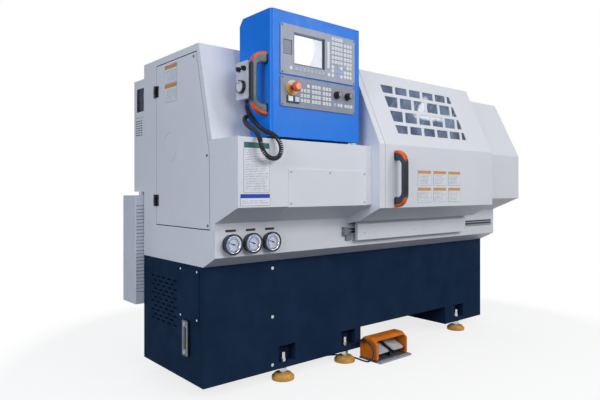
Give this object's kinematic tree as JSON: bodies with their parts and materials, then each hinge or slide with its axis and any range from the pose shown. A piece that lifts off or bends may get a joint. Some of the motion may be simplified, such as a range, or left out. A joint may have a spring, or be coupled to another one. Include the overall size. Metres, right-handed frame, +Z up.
{
  "type": "cnc turning lathe",
  "caption": "Enclosed flat-bed turning lathe with sliding window door, swivelling control pendant, chuck, turret, tailstock and double foot switch.",
  "frame": {"origin": "on the floor under the middle of the machine's outline", "axes": "+X along the spindle towards the tailstock, +Y from the operator towards the back, +Z up"},
  "size_m": [2.002, 1.048, 1.518],
  "materials": {
    "navy_paint": "satin",
    "white_paint": "satin",
    "orange_pad": "satin",
    "bright_steel": "brushed",
    "chuck_steel": "ground",
    "black_metal": "satin",
    "grey_casting": "painted and ground",
    "motor_grey": "satin",
    "belt_rubber": "matte",
    "window_sheet": "clear",
    "grip_plastic": "moulded",
    "blue_paint": "gloss",
    "panel_grey": "fine texture",
    "black_plastic": "matte",
    "button_white": "gloss",
    "stop_red": "gloss",
    "guard_orange": "satin",
    "pedal_grey": "cast"
  },
  "bodies": {
    "machine": {"access_plate": "white_paint", "base_casting": "navy_paint", "bed": "grey_casting", "chip_tray": "white_paint", "cover_screws": "bright_steel", "door_rail": "bright_steel", "drive_belt": "belt_rubber", "end_cover": "white_paint", "end_door_hinges": "black_metal", "end_inspection_plate": "navy_paint", "headstock_bulkhead": "white_paint", "headstock_casting": "grey_casting", "headstock_cover": "white_paint", "levelling_bolts": "bright_steel", "levelling_pads": "orange_pad", "louvre_box": "white_paint", "oil_sight_gauge": "black_metal", "pedal_base": "pedal_grey", "pedal_cable": "belt_rubber", "pedal_guard": "guard_orange", "pendant_post": "bright_steel", "pressure_gauges": "bright_steel", "rear_cabinet": "white_paint", "rear_guard": "white_paint", "spindle_motor": "motor_grey", "upper_housing": "white_paint"},
    "sliding_door": {"door_panel": "white_paint", "door_window": "window_sheet", "door_apron": "white_paint", "door_handle": "grip_plastic"},
    "end_door": {"end_door": "white_paint"},
    "spindle": {"spindle": "bright_steel", "clamping_cylinder": "bright_steel", "chuck_body": "chuck_steel"},
    "jaw_1": {"chuck_jaw_1": "bright_steel"},
    "jaw_2": {"chuck_jaw_2": "bright_steel"},
    "jaw_3": {"chuck_jaw_3": "bright_steel"},
    "motor_pulley": {"motor_pulley": "chuck_steel"},
    "carriage": {"carriage": "grey_casting"},
    "cross_slide": {"cross_slide": "grey_casting"},
    "tool_turret": {"tool_turret": "chuck_steel"},
    "tailstock": {"tailstock": "grey_casting"},
    "tailstock_quill": {"tailstock_quill": "bright_steel"},
    "pendant": {"pendant_case": "blue_paint", "control_unit": "panel_grey", "operator_panel": "panel_grey", "pendant_handle": "grip_plastic", "handwheel_case": "panel_grey", "curly_cord": "belt_rubber"},
    "estop_stem": {"estop_stem": "bright_steel"},
    "estop_head": {"estop_head": "stop_red"},
    "start_button": {"start_button": "button_white"},
    "hold_button": {"hold_button": "button_white"},
    "feed_knob": {"feed_knob": "black_plastic"},
    "speed_knob": {"speed_knob": "black_plastic"},
    "handwheel_dial": {"handwheel_dial": "bright_steel"},
    "axis_selector": {"axis_selector": "black_plastic"},
    "step_selector": {"step_selector": "black_plastic"},
    "left_pedal": {"left_pedal": "pedal_grey"},
    "right_pedal": {"right_pedal": "pedal_grey"}
  },
  "joints": [
    {"name": "door_slide", "type": "slide", "parent": "machine", "child": "sliding_door", "axis": [1, 0, 0], "range_m": [0, 0.62]},
    {"name": "end_door_hinge", "type": "hinge", "parent": "machine", "child": "end_door", "pos_m": [-0.968, 0.243, 1.012], "axis": [0, 0, -1], "range_deg": [0, 110]},
    {"name": "pendant_swivel", "type": "hinge", "parent": "machine", "child": "pendant", "pos_m": [-0.343, -0.362, 1.032], "axis": [0, 0, 1], "range_deg": [0, 60]},
    {"name": "spindle_turn", "type": "hinge", "parent": "machine", "child": "spindle", "pos_m": [-0.245, 0.109, 1.012], "axis": [1, 0, 0], "continuous": true},
    {"name": "motor_turn", "type": "hinge", "parent": "machine", "child": "motor_pulley", "pos_m": [-0.842, 0.238, 1.262], "axis": [1, 0, 0], "continuous": true},
    {"name": "jaw_1_slide", "type": "slide", "parent": "spindle", "child": "jaw_1", "axis": [0, 0, 1], "range_m": [-0.003, 0.003]},
    {"name": "jaw_2_slide", "type": "slide", "parent": "spindle", "child": "jaw_2", "axis": [0, 0.866, -0.5], "range_m": [-0.003, 0.003]},
    {"name": "jaw_3_slide", "type": "slide", "parent": "spindle", "child": "jaw_3", "axis": [0, -0.866, -0.5], "range_m": [-0.003, 0.003]},
    {"name": "carriage_slide", "type": "slide", "parent": "machine", "child": "carriage", "axis": [1, 0, 0], "range_m": [-0.15, 0.12]},
    {"name": "cross_slide", "type": "slide", "parent": "carriage", "child": "cross_slide", "axis": [0, 1, 0], "range_m": [-0.03, 0.05]},
    {"name": "turret_index", "type": "hinge", "parent": "cross_slide", "child": "tool_turret", "pos_m": [0.179, -0.024, 0.96], "axis": [0, 0, 1], "continuous": true},
    {"name": "tailstock_slide", "type": "slide", "parent": "machine", "child": "tailstock", "axis": [1, 0, 0], "range_m": [-0.15, 0.05]},
    {"name": "quill_slide", "type": "slide", "parent": "tailstock", "child": "tailstock_quill", "axis": [1, 0, 0], "range_m": [-0.1, 0]},
    {"name": "estop_push", "type": "slide", "parent": "pendant", "child": "estop_stem", "axis": [0, 1, 0], "range_m": [0, 0.004]},
    {"name": "estop_twist", "type": "hinge", "parent": "estop_stem", "child": "estop_head", "pos_m": [-0.701, -0.427, 1.225], "axis": [0, -1, 0], "range_deg": [0, 30]},
    {"name": "start_push", "type": "slide", "parent": "pendant", "child": "start_button", "axis": [0, 1, 0], "range_m": [0, 0.0025], "stiffness_N_per_m": 400},
    {"name": "hold_push", "type": "slide", "parent": "pendant", "child": "hold_button", "axis": [0, 1, 0], "range_m": [0, 0.0025], "stiffness_N_per_m": 400},
    {"name": "feed_turn", "type": "hinge", "parent": "pendant", "child": "feed_knob", "pos_m": [-0.463, -0.412, 1.222], "axis": [0, -1, 0], "range_deg": [-120, 120]},
    {"name": "speed_turn", "type": "hinge", "parent": "pendant", "child": "speed_knob", "pos_m": [-0.4005, -0.412, 1.222], "axis": [0, -1, 0], "range_deg": [-120, 120]},
    {"name": "dial_turn", "type": "hinge", "parent": "pendant", "child": "handwheel_dial", "pos_m": [-0.847, -0.262, 1.231], "axis": [-1, 0, 0], "continuous": true},
    {"name": "axis_turn", "type": "hinge", "parent": "pendant", "child": "axis_selector", "pos_m": [-0.847, -0.28, 1.301], "axis": [-1, 0, 0], "range_deg": [-60, 60]},
    {"name": "step_turn", "type": "hinge", "parent": "pendant", "child": "step_selector", "pos_m": [-0.847, -0.244, 1.301], "axis": [-1, 0, 0], "range_deg": [-60, 60]},
    {"name": "left_pedal_press", "type": "hinge", "parent": "machine", "child": "left_pedal", "pos_m": [-0.031, -0.209, 0.058], "axis": [1, 0, 0], "range_deg": [0, 8], "stiffness_Nm_per_rad": 5, "springref_deg": -6.88},
    {"name": "right_pedal_press", "type": "hinge", "parent": "machine", "child": "right_pedal", "pos_m": [0.085, -0.209, 0.058], "axis": [1, 0, 0], "range_deg": [0, 8], "stiffness_Nm_per_rad": 5, "springref_deg": -6.88}
  ],
  "couplings": [
    {"joint": "motor_turn", "follows": "spindle_turn", "ratio": 1.5},
    {"joint": "jaw_2_slide", "follows": "jaw_1_slide", "ratio": 1},
    {"joint": "jaw_3_slide", "follows": "jaw_1_slide", "ratio": 1}
  ]
}
